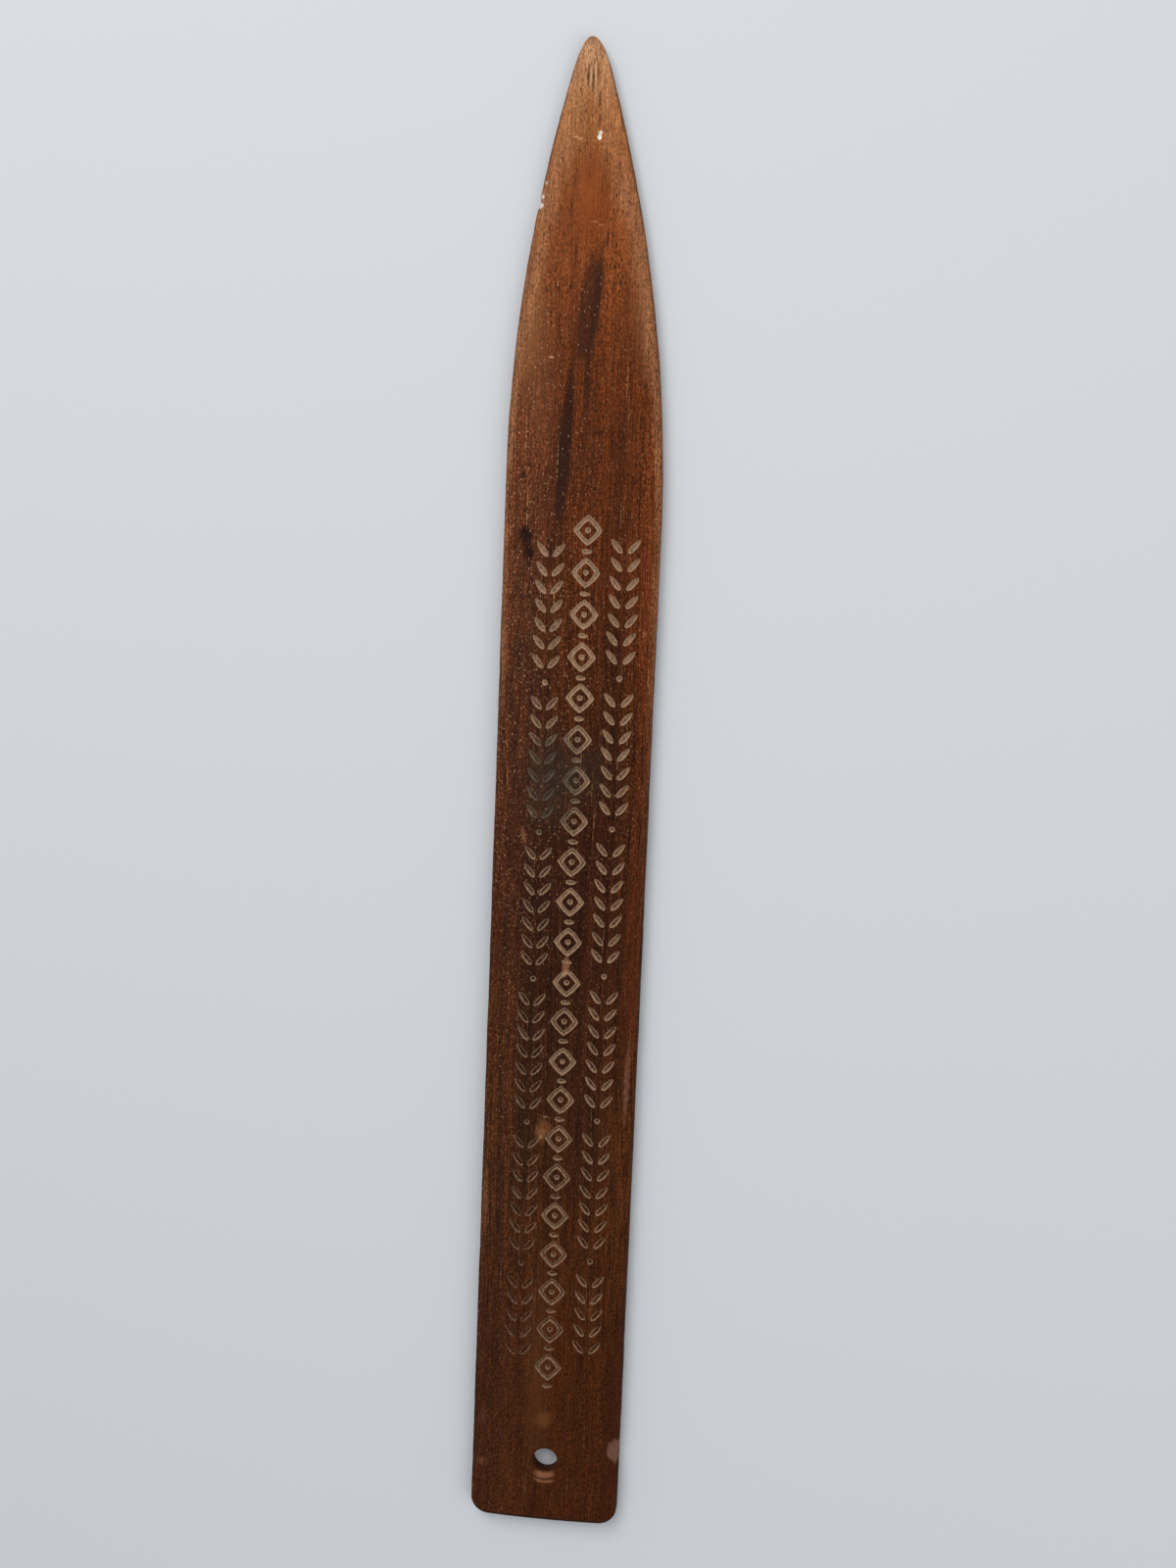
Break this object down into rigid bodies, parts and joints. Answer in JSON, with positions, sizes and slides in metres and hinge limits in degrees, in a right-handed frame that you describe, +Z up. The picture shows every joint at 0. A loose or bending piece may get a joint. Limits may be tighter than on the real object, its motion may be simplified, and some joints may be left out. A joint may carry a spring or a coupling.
{
  "type": "letter opener",
  "caption": "Flat wooden letter opener: a thin straight lath with eased edges, shaped at one end into a thinned, rounded blade and drilled near the butt for hanging.",
  "frame": {"origin": "centre of the part's outline, on the surface that its back lies on", "axes": "+Y from the butt to the tip, +X across the blade to the right with the tip pointing away, +Z up through the thickness"},
  "size_m": [0.0222, 0.215, 0.003],
  "materials": {
    "wood": "worn satin"
  },
  "bodies": {
    "root": {"wooden_blade": "wood"}
  },
  "joints": []
}
